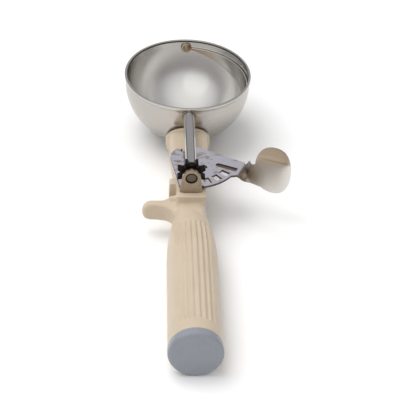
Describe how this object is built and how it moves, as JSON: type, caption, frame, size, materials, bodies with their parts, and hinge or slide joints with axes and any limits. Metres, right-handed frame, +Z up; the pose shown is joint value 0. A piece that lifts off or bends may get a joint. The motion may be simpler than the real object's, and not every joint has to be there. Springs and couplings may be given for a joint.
{
  "type": "lever ice cream scoop",
  "caption": "Portion scoop with a round bowl, a thumb lever and gear plate that sweep a release blade, and a fluted moulded handle.",
  "frame": {"origin": "under the middle of the scoop's box, at the level of the surface it lies on", "axes": "+Y along the handle towards the bowl, +Z up out of the bowl's mouth, +X towards the thumb tab"},
  "size_m": [0.0866, 0.24, 0.0471],
  "materials": {
    "bowl_steel": "drawn stainless sheet, satin outside, polished inside",
    "blade_steel": "thin polished stainless sheet",
    "lever_steel": "polished stainless sheet",
    "bracket_steel": "satin stamped stainless sheet",
    "shaft_steel": "turned and polished stainless bar",
    "pinion_steel": "dark sintered steel",
    "fastener_steel": "turned stainless",
    "bush_metal": "dark oiled sintered bush",
    "washer_brass": "stamped brass",
    "spring_steel": "drawn spring wire",
    "handle_plastic": "moulded ivory plastic, satin",
    "cap_plastic": "moulded grey plastic, satin"
  },
  "bodies": {
    "root": {"bowl": "bowl_steel", "handle_shank": "fastener_steel", "handle": "handle_plastic", "end_cap": "cap_plastic", "shaft_bracket": "bracket_steel", "bracket_screw": "fastener_steel", "bracket_bush": "bush_metal", "bowl_eyelet": "bush_metal", "blade_rivet": "fastener_steel", "blade_washer": "fastener_steel", "lever_pivot_pin": "fastener_steel", "lever_washer": "washer_brass", "stop_pin": "fastener_steel", "return_spring": "spring_steel"},
    "lever": {"lever": "lever_steel", "pivot_top_washer": "fastener_steel"},
    "rotor": {"drive_shaft": "shaft_steel", "pinion": "pinion_steel", "pinion_pin": "fastener_steel", "thrust_washer": "washer_brass", "blade": "blade_steel"}
  },
  "joints": [
    {"name": "lever_turn", "type": "hinge", "parent": "root", "child": "lever", "pos_m": [-0.00856, 0.02265, 0.02685], "axis": [0, 0, -1], "range_deg": [0, 40], "stiffness_Nm_per_rad": 0.4, "springref_deg": -34.38, "deforming": ["return_spring"]},
    {"name": "blade_sweep", "type": "hinge", "parent": "root", "child": "rotor", "pos_m": [-0.00856, 0.00025, 0.03415], "axis": [0, 1, 0], "range_deg": [0, 120]}
  ],
  "couplings": [
    {"joint": "blade_sweep", "follows": "lever_turn", "ratio": 3}
  ]
}
